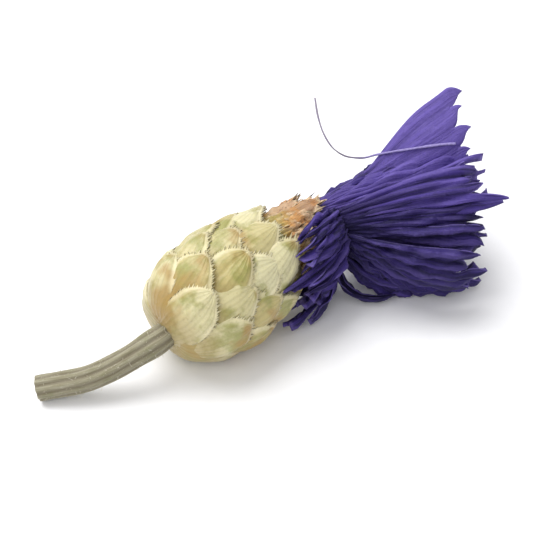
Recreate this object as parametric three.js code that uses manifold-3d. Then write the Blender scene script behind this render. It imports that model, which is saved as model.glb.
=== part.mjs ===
// A dried cornflower head, picked with a short length of its stalk and lying on its side.
// Millimetres, +Z up. The origin lies on the surface under the widest part of the involucre,
// and +X runs from the cut stalk towards the florets.
import * as THREE from "three";
import { mergeVertices } from "three/addons/utils/BufferGeometryUtils.js";
import Module from "manifold-3d";

const wasm = await Module();
wasm.setup();

// How the head lies: its axis leans up from the surface and to one side, and passes over the
// origin at this distance along it and this height.
const HEAD_TILT = 10;
const HEAD_YAW = 16;
const REST_ALONG = 3.6;
const REST_HEIGHT = 3.72;

// The involucre, a cup of overlapping bracts. Distances along the head start at its base.
const CUP_LENGTH = 9.3;
const CUP_WIDEST = 4.3;
const CUP_RADIUS = 3.66;
const BASE_RADIUS = 1.5;
const MOUTH_RADIUS = 2.75;
const CUP_BRACTS = 26;
const BASE_BRACTS = 4;
const BRACT_WIDTH = 1.6;
const BRACT_RELIEF = 0.36;
const BRACT_CROWN = 0.14;

// The throat, where the inner bracts, ray florets and disc florets stand inside each other.
const THROAT_FLOOR = 2.6;
const CLEARANCE = 0.25;
const CORE_RADIUS = 0.5;
const CORE_TOP = 12;
const SLEEVE_INNER = 0.75;
const SLEEVE_OUTER = 1.35;
const SLEEVE_TOP = 11.2;
const COLLAR_INNER = 1.6;
const COLLAR_OUTER = 2.2;
const COLLAR_TOP = 10.6;
const COLLAR_BRACTS = 11;
const COLLAR_TIP = 14.6;
const COLLAR_SLANT = 1.3;
const COLLAR_OPEN = 232;
const COLLAR_RIM = 2.8;
const NECK = 13.3;

// The brush of florets beyond the neck, which bends back towards +X.
const BRUSH_TILT = -2;
const BRUSH_YAW = -8;
const BLADE = 0.64;
const RAYS = 15;
const RAY_LOBES = 5;
const RAY_REACH = 12.4;
const OUTER_SPREAD = 26;
const INNER_SPREAD = 17;
const UNDER_SPREAD = 13;
const UNDER_SAG = 38;
const BROAD_RAY = 2;
const BROAD_BEND = [15.8, 3, 6.7];
const BROAD_END = [20.9, 2.2, 10.75];
const BENEATH_BROAD = 12;
const RAY_BUNDLE = { from: SLEEVE_OUTER, to: 2.7, power: 2 };
const DISCS = 13;
const DISC_REACH = 7.5;
const DISC_SPREAD = 9;
const DISC_STAR = 0.8;
const DISC_BUNDLE = { from: CORE_RADIUS + 0.06, to: 2.6, power: 2.2 };

// The short florets that have curled back over the collar: the angle each leaves at, the radius
// and distance along the head that it folds round, its end as radius, angle and distance along
// the head, and half its width.
const CURLED = [
  { angle: 150, fold: [3.8, 13.2], end: [4.2, 138, 7.9], widest: 1.2 },
  { angle: 172, fold: [4.3, 13], end: [4.3, 156, 7.1], widest: 1.4 },
  { angle: 196, fold: [4.6, 13], end: [4.4, 180, 6.8], widest: 1.4 },
  { angle: 218, fold: [4.9, 12.6], end: [4.5, 206, 6.8], widest: 1.3 },
  { angle: 236, fold: [5.6, 11.9], end: [5.3, 236, 6.9], widest: 1.1 },
  { angle: 252, fold: [5.3, 12.6], end: [4.8, 250, 8.2], widest: 1.3 },
  { angle: 268, fold: [5, 13], end: [4.6, 264, 9.6], widest: 1.2 },
];

// The stalk, ribbed, bending down from the cup to lie on the surface.
const STALK_RADIUS = 0.86;
const STALK_RIBS = 6;
const STALK_END = [-11.6, 0.4];
const SOCKET_RADIUS = 1.15;
const SOCKET_DEPTH = 1;

const GOLDEN_TURN = Math.PI * (3 - Math.sqrt(5));
const { degToRad, lerp, smoothstep } = THREE.MathUtils;

// A repeatable draw from 0 to 1 for piece number i.
function draw(i, channel) {
  const x = Math.sin(i * 12.9898 + channel * 78.233) * 43758.5453;
  return x - Math.floor(x);
}

// A direction from its tilt above the surface and its yaw from +X, in degrees.
function heading(tilt, yaw) {
  const up = degToRad(tilt);
  const round = degToRad(yaw);
  return new THREE.Vector3(
    Math.cos(up) * Math.cos(round),
    Math.cos(up) * Math.sin(round),
    Math.sin(up),
  );
}

// A direction with the two directions across it: side is level and top is upward.
function frameOf(axis) {
  const side = new THREE.Vector3(0, 0, 1).cross(axis).normalize();
  const top = axis.clone().cross(side);
  return { axis, side, top };
}

const head = frameOf(heading(HEAD_TILT, HEAD_YAW));
const brush = frameOf(heading(BRUSH_TILT, BRUSH_YAW));
const base = new THREE.Vector3(0, 0, REST_HEIGHT).addScaledVector(head.axis, -REST_ALONG);

// A point of the head by its radius, its angle round the axis from the side, and its distance along.
function inHead(radius, angle, along) {
  return base
    .clone()
    .addScaledVector(head.axis, along)
    .addScaledVector(head.side, radius * Math.cos(angle))
    .addScaledVector(head.top, radius * Math.sin(angle));
}

// Turns a geometry made round its own +Z into the head's place.
function placeInHead(geometry) {
  const turn = new THREE.Matrix4().makeBasis(head.side, head.top, head.axis);
  return geometry.applyMatrix4(turn.setPosition(base));
}

// A closed solid from a geometry.
function solid(geometry) {
  const bare = geometry.index ? geometry.toNonIndexed() : geometry.clone();
  bare.deleteAttribute("normal");
  bare.deleteAttribute("uv");
  const merged = mergeVertices(bare, 1e-3);
  return new wasm.Manifold(
    new wasm.Mesh({
      numProp: 3,
      vertProperties: merged.attributes.position.array,
      triVerts: new Uint32Array(merged.index.array),
    }),
  );
}

function joined(solids) {
  return solids.reduce((whole, piece) => whole.add(piece));
}

// The geometry of a solid.
function geometryOf(made) {
  const { numProp, numVert, vertProperties, triVerts } = made.getMesh();
  const positions = new Float32Array(numVert * 3);
  for (let i = 0; i < numVert; i++) {
    positions.set(vertProperties.subarray(i * numProp, i * numProp + 3), i * 3);
  }
  const geometry = new THREE.BufferGeometry();
  geometry.setAttribute("position", new THREE.BufferAttribute(positions, 3));
  geometry.setIndex(new THREE.BufferAttribute(triVerts, 1));
  return geometry;
}

// The largest body of a solid, without the scraps and sealed pockets that joining leaves.
function largest(made) {
  const bodies = solid(geometryOf(made)).decompose();
  return bodies.reduce((best, body) => (body.volume() > best.volume() ? body : best));
}

// A named mesh in its finish from a solid.
function meshOf(made, name, color, roughness) {
  const geometry = geometryOf(made);
  geometry.computeVertexNormals();
  const finish = new THREE.MeshStandardMaterial({ color, roughness, metalness: 0 });
  const mesh = new THREE.Mesh(geometry, finish);
  mesh.name = name;
  return mesh;
}

// A turned solid round the head's axis, from its profile of [radius, along] points.
function turned(profile, segments) {
  const points = profile.map(([radius, along]) => new THREE.Vector2(radius, along));
  const lathe = new THREE.LatheGeometry(points, segments);
  return solid(placeInHead(lathe.rotateX(Math.PI / 2)));
}

// A closed blade: points holds an outer and an inner point for each place of the net,
// and faces its triangles as seen from outside. The rim follows every free edge.
function blade(points, faces) {
  const count = points.length;
  const corners = [...points.map((p) => p.outer), ...points.map((p) => p.inner)];
  const index = [];
  const edges = new Set();
  for (const [a, b, c] of faces) {
    index.push(a, b, c, count + c, count + b, count + a);
    edges.add(`${a} ${b}`).add(`${b} ${c}`).add(`${c} ${a}`);
  }
  for (const edge of edges) {
    const [a, b] = edge.split(" ").map(Number);
    if (!edges.has(`${b} ${a}`)) {
      index.push(b, a, count + a, b, count + a, count + b);
    }
  }
  const geometry = new THREE.BufferGeometry().setFromPoints(corners);
  geometry.setIndex(index);
  return solid(geometry);
}

// The triangles between a lower and an upper row of the net, which may differ in their numbers.
function band(lower, upper) {
  const faces = [];
  let i = 0;
  let j = 0;
  while (i + 1 < lower.length || j + 1 < upper.length) {
    if ((i + 1) * (upper.length - 1) <= (j + 1) * (lower.length - 1)) {
      faces.push([lower[i], lower[i + 1], upper[j]]);
      i++;
    } else {
      faces.push([lower[i], upper[j + 1], upper[j]]);
      j++;
    }
  }
  return faces;
}

// The radius of the cup's body at a distance along the head.
function cupRadius(along) {
  if (along < CUP_WIDEST) {
    const below = (CUP_WIDEST - Math.max(along, 0)) / CUP_WIDEST;
    return BASE_RADIUS + (CUP_RADIUS - BASE_RADIUS) * Math.sqrt(1 - below ** 2.4);
  }
  const above = Math.min(1, (along - CUP_WIDEST) / (CUP_LENGTH - CUP_WIDEST));
  return CUP_RADIUS - (CUP_RADIUS - MOUTH_RADIUS) * above ** 1.7;
}

// A bract's outline, as [distance along, half width] shares of its length and width.
const PLAIN_OUTLINE = [[0, 0.7], [0.35, 1], [0.66, 0.84], [0.86, 0.42], [1, 0.06]];
const TOOTHED_OUTLINE = [
  [0, 0.9], [0.6, 1], [0.7, 1.05], [0.76, 0.6], [0.84, 0.78], [0.9, 0.3], [1, 0.06],
];

// A bract on the head. depthAt gives the radius of its outer face at a distance along the head
// and a share of its length, and crown is how far its middle stands over its edges.
function bract({ angle, start, length, width, outline, depthAt, crown, thickness }) {
  const points = [];
  const faces = [];
  outline.forEach(([v, share], row) => {
    const along = start + v * length;
    for (const u of [-1, 0, 1]) {
      const radius = depthAt(along, v) + crown * (1 - u * u) * share;
      const turn = angle + (u * share * width) / radius;
      points.push({
        outer: inHead(radius, turn, along),
        inner: inHead(radius - thickness, turn, along),
      });
    }
    if (row > 0) {
      const first = 3 * row;
      faces.push(...band([first - 3, first - 2, first - 1], [first, first + 1, first + 2]));
    }
  });
  return blade(points, faces);
}

// The cup: a closed body with a straight throat, covered in a spiral of bracts whose tips lift.
function makeInvolucre() {
  const profile = [[0, 0]];
  for (const share of [0, 0.03, 0.09, 0.18, 0.3, 0.45, 0.63, 0.82, 1]) {
    profile.push([cupRadius(share * CUP_LENGTH), share * CUP_LENGTH]);
  }
  profile.push([0, CUP_LENGTH]);
  const body = turned(profile, 22);
  const bracts = [];
  for (let i = BASE_BRACTS; i < CUP_BRACTS + BASE_BRACTS; i++) {
    const rise = i / (CUP_BRACTS + BASE_BRACTS - 1);
    bracts.push(
      bract({
        angle: i * GOLDEN_TURN,
        start: lerp(-0.8, CUP_LENGTH - 3.9, rise ** 0.85),
        length: lerp(3.3, 5, rise) * (0.92 + 0.12 * draw(i, 1)),
        width: BRACT_WIDTH,
        outline: PLAIN_OUTLINE,
        depthAt: (along, v) => cupRadius(along) + BRACT_RELIEF * (0.15 + 0.85 * v),
        crown: BRACT_CROWN,
        thickness: 0.75,
      }),
    );
  }
  const bore = COLLAR_OUTER + CLEARANCE;
  const throat = turned(
    [[0, THROAT_FLOOR], [bore, THROAT_FLOOR], [bore, 10.2], [bore + 0.6, 12], [0, 12]],
    20,
  );
  const socket = turned(
    [[0, -1], [SOCKET_RADIUS, -1], [SOCKET_RADIUS, SOCKET_DEPTH], [0, SOCKET_DEPTH]],
    12,
  );
  return joined([body, ...bracts]).subtract(throat).subtract(socket);
}

// A tube round the head's axis from the foot of the throat to its top.
function tube(inner, outer, top, segments) {
  const foot = THROAT_FLOOR + CLEARANCE;
  return turned([[inner, foot], [outer, foot], [outer, top], [inner, top], [inner, foot]], segments);
}

// How far the collar reaches at an angle: its rim slants away on the side that florets fall over.
function rimAt(angle) {
  return COLLAR_TIP - COLLAR_SLANT * (1 + Math.cos(angle - degToRad(COLLAR_OPEN)));
}

// The inner bracts: a papery collar in the throat whose toothed tips flare round the florets.
function makeInnerBracts() {
  const bracts = [];
  for (let i = 0; i < COLLAR_BRACTS; i++) {
    const angle = ((i + 0.3 * draw(i, 3)) * 2 * Math.PI) / COLLAR_BRACTS;
    const pushed = Math.max(0, Math.cos(angle - degToRad(COLLAR_OPEN)));
    const outward = 0.05 + 0.15 * draw(i, 2) + 0.15 * pushed;
    const start = 7.6;
    const end = rimAt(angle) - 0.9 * draw(i, 4);
    bracts.push(
      bract({
        angle,
        start,
        length: end - start,
        width: 0.76,
        outline: TOOTHED_OUTLINE,
        depthAt: (along) => COLLAR_OUTER + outward * smoothstep(along, 9.8, end),
        crown: 0.02,
        thickness: COLLAR_OUTER - COLLAR_INNER,
      }),
    );
  }
  const collar = joined([tube(COLLAR_INNER, COLLAR_OUTER, COLLAR_TOP, 18), ...bracts]);
  return largest(collar.subtract(bundle(RAY_BUNDLE, CLEARANCE)));
}

// A floret's line through four points from its root to its tip, with the outward and across
// directions at each share of its length. The outward direction leaves the middle of the head,
// or the middle of the brush where the line has passed the neck.
function floretLine(points, throughBrush) {
  const curve = new THREE.CubicBezierCurve3(...points);
  const neck = inHead(0, 0, NECK);
  return (t) => {
    const point = curve.getPoint(t);
    const along = curve.getTangent(t);
    const past = point.clone().sub(neck).dot(brush.axis);
    const middle =
      throughBrush && past > 0
        ? neck.clone().addScaledVector(brush.axis, past)
        : inHead(0, 0, point.clone().sub(base).dot(head.axis));
    const outward = point.clone().sub(middle);
    outward.addScaledVector(along, -outward.dot(along)).normalize();
    return { point, outward, across: along.clone().cross(outward) };
  };
}

// Where a floret's tip lies: reach beyond the neck, spread from the brush's axis, turned round it.
function brushPoint(reach, spread, angle) {
  const opened = degToRad(spread);
  return inHead(0, 0, NECK)
    .addScaledVector(brush.axis, reach * Math.cos(opened))
    .addScaledVector(brush.side, reach * Math.sin(opened) * Math.cos(angle))
    .addScaledVector(brush.top, reach * Math.sin(opened) * Math.sin(angle));
}

// A ray floret: a thin tube that opens like a trumpet into a pleated, curved limb of pointed lobes.
// An oblique one is shorter towards one edge.
function floret({ line, seed, widest, curl, twist, lobes, opening, sinus, ragged, oblique = 0 }) {
  const shorter = (u) => (oblique * (1 + u)) / 2;
  const halfWidth = (v) => 0.42 + (widest - 0.42) * smoothstep(v, opening, 0.85);
  const place = (across, v, pleat) => {
    const at = line(v);
    const along = at.outward.clone().cross(at.across);
    const twisted = twist * smoothstep(v, 0.1, 0.7);
    const outward = at.outward.clone().applyAxisAngle(along, twisted);
    const sideways = at.across.clone().applyAxisAngle(along, twisted);
    const radius = halfWidth(v) / Math.max(curl * smoothstep(v, 0.1, 0.6), 0.05);
    const turn = across / radius;
    const normal = outward
      .clone()
      .multiplyScalar(Math.cos(turn))
      .addScaledVector(sideways, Math.sin(turn));
    const middle = at.point
      .clone()
      .addScaledVector(sideways, radius * Math.sin(turn))
      .addScaledVector(outward, -radius * (1 - Math.cos(turn)))
      .addScaledVector(normal, pleat);
    middle.z = Math.max(middle.z, BLADE / 2);
    const half = lerp(0.2, BLADE / 2, smoothstep(v, 0, 0.15));
    return {
      outer: middle.clone().addScaledVector(normal, half),
      inner: middle.clone().addScaledVector(normal, -half),
    };
  };
  const points = [];
  const faces = [];
  const columns = 2 * lobes;
  const rows = [[0, 2], [0.2, 2], [0.38, lobes], [sinus, columns]];
  let below = null;
  for (const [v, cells] of rows) {
    const row = [];
    for (let c = 0; c <= cells; c++) {
      const u = (2 * c) / cells - 1;
      const fold = cells === 2 ? 0 : (c % 2 ? 0.1 : -0.1) * smoothstep(v, 0.2, 0.6);
      const notch = cells === columns && c % 2 === 0 ? 0.04 * draw(seed + c, 13) : 0;
      row.push(points.length);
      points.push(place(u * halfWidth(v), v * (1 - shorter(u) / sinus) - notch, fold));
    }
    if (below) {
      faces.push(...band(below, row));
    }
    below = row;
  }
  for (let lobe = 0; lobe < lobes; lobe++) {
    const u = (2 * lobe + 1) / lobes - 1;
    const end = 1 - (lobe > 0 ? ragged * (0.3 * u * u + 0.7 * draw(seed * lobes + lobe, 10)) : 0);
    const middle = lerp(sinus, end, 0.48) - shorter(u);
    const half = Math.max(0.36, (0.82 * widest) / lobes);
    const row = [];
    for (const side of [-half, 0, half]) {
      row.push(points.length);
      points.push(place(u * halfWidth(middle) + side, middle, side ? -0.04 : 0.08));
    }
    const tip = points.length;
    points.push(place(u * halfWidth(end), end - shorter(u), 0));
    faces.push(...band(below.slice(2 * lobe, 2 * lobe + 3), row));
    faces.push([row[0], row[1], tip], [row[1], row[2], tip]);
  }
  return blade(points, faces);
}

// Where every floret of the sleeve starts, at an angle round the head.
function rootAt(angle) {
  return inHead((SLEEVE_INNER + SLEEVE_OUTER) / 2, angle, SLEEVE_TOP + 0.3);
}

// Ray floret number i of the ring. One is broader than the rest and has turned its face to the
// side. Those beneath sag to the surface and run along it.
function rayFloret(i) {
  const broad = i === BROAD_RAY;
  const angle = ((i + 0.3 * (draw(i, 5) - 0.5)) * 2 * Math.PI) / RAYS;
  const under = Math.max(0, -Math.sin(angle + 0.6));
  const beneath = Math.exp(-(((i - BROAD_RAY - 2) / 1.4) ** 2));
  const spread = (i % 2 ? INNER_SPREAD : OUTER_SPREAD) - BENEATH_BROAD * beneath;
  const opened = spread + UNDER_SPREAD * under + 5 * (draw(i, 6) - 0.5);
  const reach = RAY_REACH + 1.3 * (draw(i, 7) - 0.5) - 0.9 * under;
  const bend = brushPoint((0.45 + 0.3 * under) * reach, opened + 4 + UNDER_SAG * under, angle);
  const tip = brushPoint(reach, opened, angle);
  tip.z = Math.max(tip.z, BLADE / 2);
  const points = [
    rootAt(angle),
    inHead(SLEEVE_OUTER - 0.2 + 0.3 * under, angle, NECK + 2.2 * under),
    broad ? new THREE.Vector3(...BROAD_BEND) : bend,
    broad ? new THREE.Vector3(...BROAD_END) : tip,
  ];
  return floret({
    line: floretLine(points, true),
    seed: i,
    widest: broad ? 2.5 : lerp(1.8, 2.3, draw(i, 8)),
    curl: degToRad(broad ? 20 : lerp(32, 67, draw(i, 9))),
    twist: degToRad(broad ? 62 : 50 * (draw(i, 14) - 0.5)),
    lobes: RAY_LOBES,
    opening: broad ? 0.46 : 0.25,
    sinus: broad ? 0.88 : 0.8,
    ragged: broad ? 0.05 : 0.13,
    oblique: broad ? 0.11 : 0,
  });
}

// One of the short florets that have curled back over the collar.
function curledFloret({ angle, fold, end, widest }, i) {
  const turn = degToRad(angle);
  const tip = inHead(end[0], degToRad(end[1]), end[2]);
  tip.z = Math.max(tip.z, BLADE / 2);
  const points = [
    rootAt(turn),
    inHead(1.6, turn, NECK + 2.6),
    inHead(fold[0], turn, fold[1]),
    tip,
  ];
  return floret({
    line: floretLine(points, false),
    seed: 20 + i,
    widest,
    curl: degToRad(40),
    twist: 0,
    lobes: 3,
    opening: 0.25,
    sinus: 0.7,
    ragged: 0.15,
  });
}

// The space of a bundle of florets: a cone that bends from the throat through the neck, up to
// a share of its length, with a margin round it.
function bundle({ from, to, power }, margin, share = 1) {
  const path = new THREE.QuadraticBezierCurve3(
    inHead(0, 0, CORE_TOP - 1),
    inHead(0, 0, NECK + 0.8),
    brushPoint(DISC_REACH + 2, 0, 0),
  );
  const sides = 12;
  const steps = 6;
  const corners = [];
  const index = [];
  for (let step = 0; step <= steps; step++) {
    const t = (share * step) / steps;
    const middle = path.getPoint(t);
    const across = frameOf(path.getTangent(t));
    const radius = margin + lerp(from, to, t ** power);
    for (let side = 0; side < sides; side++) {
      const turn = (side * 2 * Math.PI) / sides;
      corners.push(
        middle
          .clone()
          .addScaledVector(across.side, radius * Math.cos(turn))
          .addScaledVector(across.top, radius * Math.sin(turn)),
      );
      if (step > 0) {
        const a = step * sides + side;
        const b = step * sides + ((side + 1) % sides);
        index.push(a, a - sides, b, b, a - sides, b - sides);
      }
    }
  }
  const top = steps * sides;
  for (let side = 1; side + 1 < sides; side++) {
    index.push(0, side + 1, side, top, top + side, top + side + 1);
  }
  const geometry = new THREE.BufferGeometry().setFromPoints(corners);
  geometry.setIndex(index);
  return solid(geometry);
}

// The space of the collar above the sleeve, up to its slanting rim.
function collarSpace() {
  const block = new THREE.CylinderGeometry(COLLAR_RIM, COLLAR_RIM, 1, 18).toNonIndexed();
  const corner = new THREE.Vector3();
  const { position } = block.attributes;
  for (let i = 0; i < position.count; i++) {
    corner.fromBufferAttribute(position, i);
    const radius = Math.hypot(corner.x, corner.z);
    const angle = Math.atan2(-corner.z, corner.x);
    const rim = lerp(COLLAR_TIP - COLLAR_SLANT, rimAt(angle), radius / COLLAR_RIM) + CLEARANCE;
    corner.copy(inHead(radius, angle, corner.y > 0 ? rim : SLEEVE_TOP + 0.1));
    position.setXYZ(i, corner.x, corner.y, corner.z);
  }
  return solid(block);
}

// The outer, sterile florets, standing out of the sleeve that their packed tubes make.
function makeRayFlorets() {
  const rays = Array.from({ length: RAYS }, (_, i) => rayFloret(i));
  const florets = joined([
    tube(SLEEVE_INNER, SLEEVE_OUTER, SLEEVE_TOP, 16),
    bundle(RAY_BUNDLE, -0.02, 0.36),
    ...rays,
    ...CURLED.map(curledFloret),
  ]);
  const outside = collarSpace().subtract(bundle(RAY_BUNDLE, 0));
  return largest(florets.subtract(bundle(DISC_BUNDLE, CLEARANCE)).subtract(outside));
}

// A disc floret: a five-sided tube that ends in a star of short lobes round its anthers.
function discFloret(i) {
  const angle = i * GOLDEN_TURN;
  const out = Math.sqrt((i + 0.5) / DISCS);
  const curve = new THREE.QuadraticBezierCurve3(
    inHead(0.28 * out, angle, CORE_TOP - 1),
    inHead(0.32 * out, angle, NECK + 0.8),
    brushPoint(DISC_REACH * (0.85 + 0.3 * draw(i, 11)), DISC_SPREAD * out, angle),
  );
  const sides = 5;
  const rings = [
    { t: 0, radius: () => 0.28 },
    { t: 0.6, radius: () => 0.34 },
    { t: 0.8, radius: () => 0.46 },
    { t: 0.93, radius: (tip) => (tip ? DISC_STAR : 0.4), stretch: true },
    { t: 0.86, radius: () => 0.22 },
    { t: 1, radius: () => 0.16 },
  ];
  const corners = [];
  for (const ring of rings) {
    const middle = curve.getPoint(ring.t);
    const across = frameOf(curve.getTangent(ring.t));
    for (let corner = 0; corner < 2 * sides; corner++) {
      const tip = corner % 2 === 0;
      const turn = (corner * Math.PI) / sides + 6 * draw(i, 12);
      const radius = ring.radius(tip);
      const back = ring.stretch && !tip ? -0.6 : 0;
      corners.push(
        middle
          .clone()
          .addScaledVector(across.axis, back)
          .addScaledVector(across.side, radius * Math.cos(turn))
          .addScaledVector(across.top, radius * Math.sin(turn)),
      );
    }
  }
  const index = [];
  const count = 2 * sides;
  for (let ring = 1; ring < rings.length; ring++) {
    for (let corner = 0; corner < count; corner++) {
      const a = ring * count + corner;
      const b = ring * count + ((corner + 1) % count);
      index.push(a, a - count, b, b, a - count, b - count);
    }
  }
  const top = (rings.length - 1) * count;
  for (let corner = 1; corner + 1 < count; corner++) {
    index.push(0, corner + 1, corner, top, top + corner, top + corner + 1);
  }
  const geometry = new THREE.BufferGeometry().setFromPoints(corners);
  geometry.setIndex(index);
  return solid(geometry);
}

// The inner, fertile florets, standing out of a core of their packed tubes.
function makeDiscFlorets() {
  const foot = THROAT_FLOOR + CLEARANCE;
  const core = turned([[0, foot], [CORE_RADIUS, foot], [CORE_RADIUS, CORE_TOP], [0, CORE_TOP]], 12);
  const discs = Array.from({ length: DISCS }, (_, i) => discFloret(i));
  return largest(joined([core, ...discs]));
}

// The stalk: a ribbed stem that leaves its socket in the base and comes to rest along the surface.
function makeStalk() {
  const outline = new THREE.Shape();
  for (let corner = 0; corner < 2 * STALK_RIBS; corner++) {
    const radius = corner % 2 ? STALK_RADIUS * 0.84 : STALK_RADIUS;
    const turn = (corner * Math.PI) / STALK_RIBS;
    const point = [radius * Math.cos(turn), radius * Math.sin(turn)];
    if (corner === 0) {
      outline.moveTo(...point);
    } else {
      outline.lineTo(...point);
    }
  }
  outline.closePath();
  const [endX, endY] = STALK_END;
  const path = new THREE.CatmullRomCurve3([
    inHead(0, 0, SOCKET_DEPTH - CLEARANCE),
    inHead(0, 0, -1),
    new THREE.Vector3(endX * 0.72, endY - 1.3, 1.5),
    new THREE.Vector3(endX, endY, STALK_RADIUS * 0.9),
  ]);
  return solid(
    new THREE.ExtrudeGeometry(outline, { steps: 10, extrudePath: path, curveSegments: 1 }),
  );
}

// The surface that the head lies on, taken off every piece, which leaves a small flat spot.
const surface = solid(new THREE.BoxGeometry(80, 80, 10).translate(0, 0, -5));

const cornflower = new THREE.Group();
cornflower.add(
  meshOf(makeStalk().subtract(surface), "stalk", 0xb4ae91, 0.9),
  meshOf(largest(makeInvolucre().subtract(surface)), "involucre", 0xc6ba80, 0.7),
  meshOf(makeInnerBracts(), "inner_bracts", 0xd0a983, 0.75),
  meshOf(largest(makeRayFlorets().subtract(surface)), "ray_florets", 0x4b3c92, 0.7),
  meshOf(makeDiscFlorets(), "disc_florets", 0x4a2a6a, 0.75),
);

export default cornflower;
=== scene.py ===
from collections import namedtuple
from functools import partial
from math import cos, exp, pi, radians, sin, sqrt, tau

import bpy
import numpy as np
from mathutils import Matrix
from mathutils.bvhtree import BVHTree
from numpy.linalg import norm


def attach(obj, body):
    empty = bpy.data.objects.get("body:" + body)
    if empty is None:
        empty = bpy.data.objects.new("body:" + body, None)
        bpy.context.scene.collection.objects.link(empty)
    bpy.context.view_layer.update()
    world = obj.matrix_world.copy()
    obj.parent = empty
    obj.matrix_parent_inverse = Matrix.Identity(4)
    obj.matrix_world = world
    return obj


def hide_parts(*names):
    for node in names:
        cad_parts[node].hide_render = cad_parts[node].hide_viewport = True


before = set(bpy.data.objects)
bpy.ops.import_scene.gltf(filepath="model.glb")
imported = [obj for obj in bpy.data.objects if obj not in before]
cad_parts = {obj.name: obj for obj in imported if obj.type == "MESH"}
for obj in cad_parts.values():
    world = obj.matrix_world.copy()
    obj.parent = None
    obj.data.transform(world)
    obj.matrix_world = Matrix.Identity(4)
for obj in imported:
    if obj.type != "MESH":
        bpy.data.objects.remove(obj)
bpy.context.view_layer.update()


# The stalk: a cut stub of the flower's stem, dry, grey-green and finely ribbed. It grew out of
# the base of the involucre, bends down from it and lies on the surface, and its cut end is a
# little hollow. Lengths are in millimetres until a mesh is made.
MM = 0.001
HEAD_TILT = 10
HEAD_YAW = 16
REST_ALONG = 3.6
REST_HEIGHT = 3.72
STALK_RADIUS = 0.86
STALK_RIBS = 9
STALK_SIDES = 72
STALK_STEPS = 26
STALK_TOP = 0.75
STALK_BEND = (-8.352, -0.9, 1.5)
STALK_END = (-11.6, 0.4, 0.9 * STALK_RADIUS)
STALK_LOWEST = 0.01
RIB_DEPTH = 0.13
CREASE_DEPTH = 0.05
SWELLING = 0.1
SWELLING_AT = 1.9
SWELLING_REACH = 0.9
# The rings of the cut end: how far each lies back from it, and its share of the radius.
CUT_RINGS = [(-0.03, 0.9), (0.02, 0.74), (0.14, 0.6), (0.2, 0.3), (0.2, 0.02)]

Axes = namedtuple("Axes", "axis side top")


def heading(tilt, yaw):
    """A direction by its tilt above the surface and its yaw from +X, in degrees."""
    up, turn = radians(tilt), radians(yaw)
    return np.array([cos(up) * cos(turn), cos(up) * sin(turn), sin(up)])


def axes_along(axis):
    """A direction with its level side and its upward top."""
    axis = axis / norm(axis)
    side = np.cross([0, 0, 1], axis)
    side /= norm(side)
    return Axes(axis, side, np.cross(axis, side))


HEAD = axes_along(heading(HEAD_TILT, HEAD_YAW))
HEAD_BASE = np.array([0, 0, REST_HEIGHT]) - REST_ALONG * HEAD.axis


def in_head(radius, angle, along):
    """Points of the head by radius, angle round its axis and distance along it."""
    radius, angle, along = np.broadcast_arrays(radius, angle, along)
    return (
        HEAD_BASE
        + along[..., None] * HEAD.axis
        + (radius * np.cos(angle))[..., None] * HEAD.side
        + (radius * np.sin(angle))[..., None] * HEAD.top
    )


def path_through(points, steps):
    """A smooth path through points, with evenly timed steps between each two of them."""
    points = np.array(points, float)
    reach = [2 * points[0] - points[1], *points, 2 * points[-1] - points[-2]]
    path = []
    for a, b, c, d in zip(reach, reach[1:], reach[2:], reach[3:]):
        tb = norm(b - a) ** 0.5
        tc = tb + norm(c - b) ** 0.5
        td = tc + norm(d - c) ** 0.5
        for t in np.linspace(tb, tc, steps, endpoint=False):
            ab = a + (b - a) * t / tb
            bc = b + (c - b) * (t - tb) / (tc - tb)
            cd = c + (d - c) * (t - tc) / (td - tc)
            abc = ab + (bc - ab) * t / tc
            bcd = bc + (cd - bc) * (t - tb) / (td - tb)
            path.append(abc + (bcd - abc) * (t - tb) / (tc - tb))
    return np.array([*path, points[-1]])


def once_round(sides):
    """Evenly spaced turns, once round."""
    return np.linspace(0, tau, sides, endpoint=False)


def ring_round(middle, across, turn, radius, flatness=1.0):
    """Points round a place on a path, at a radius or at one for each turn."""
    spokes = np.cos(turn)[:, None] * across.side + flatness * np.sin(turn)[:, None] * across.top
    return middle + np.reshape(radius, (-1, 1)) * spokes


def net_faces(rows, columns, first=0, round_about=False):
    """The faces of a net of points, row by row. A net that goes round closes on itself."""
    faces = []
    for row in range(first, first + (rows - 1) * columns, columns):
        for cell in range(columns if round_about else columns - 1):
            beside = row + (cell + 1) % columns
            faces.append((row + cell, beside, beside + columns, row + cell + columns))
    return faces


def tube_faces(rows, sides, first=0):
    """The faces of rings that follow each other, with a lid on the last one."""
    lid = first + (rows - 1) * sides
    return [*net_faces(rows, sides, first, round_about=True), tuple(range(lid, lid + sides))]


def placed(name, data):
    """A new object in the scene."""
    made = bpy.data.objects.new(name, data)
    bpy.context.scene.collection.objects.link(made)
    return made


def piece(name, points, faces, material=None, uv=None, **attributes):
    """A smooth mesh from points in millimetres, with a number or a uv place for each point."""
    mesh = bpy.data.meshes.new(name)
    mesh.from_pydata((np.asarray(points, float) * MM).tolist(), [], faces)
    mesh.shade_smooth()
    if uv is not None:
        corners = np.empty(len(mesh.loops), np.int32)
        mesh.loops.foreach_get("vertex_index", corners)
        layer = mesh.uv_layers.new(name="UVMap")
        layer.uv.foreach_set("vector", np.asarray(uv, np.float32)[corners].ravel())
    for key, values in attributes.items():
        layer = mesh.attributes.new(key, "FLOAT", "POINT")
        layer.data.foreach_set("value", np.asarray(values, np.float32))
    if material:
        mesh.materials.append(material)
    return placed(name, mesh)


def colour(red, green, blue):
    """A linear colour from the 0 to 255 values that a screen shows."""
    shares = [c / 255 for c in (red, green, blue)]
    return (*(c / 12.92 if c <= 0.04045 else ((c + 0.055) / 1.055) ** 2.4 for c in shares), 1)


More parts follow.
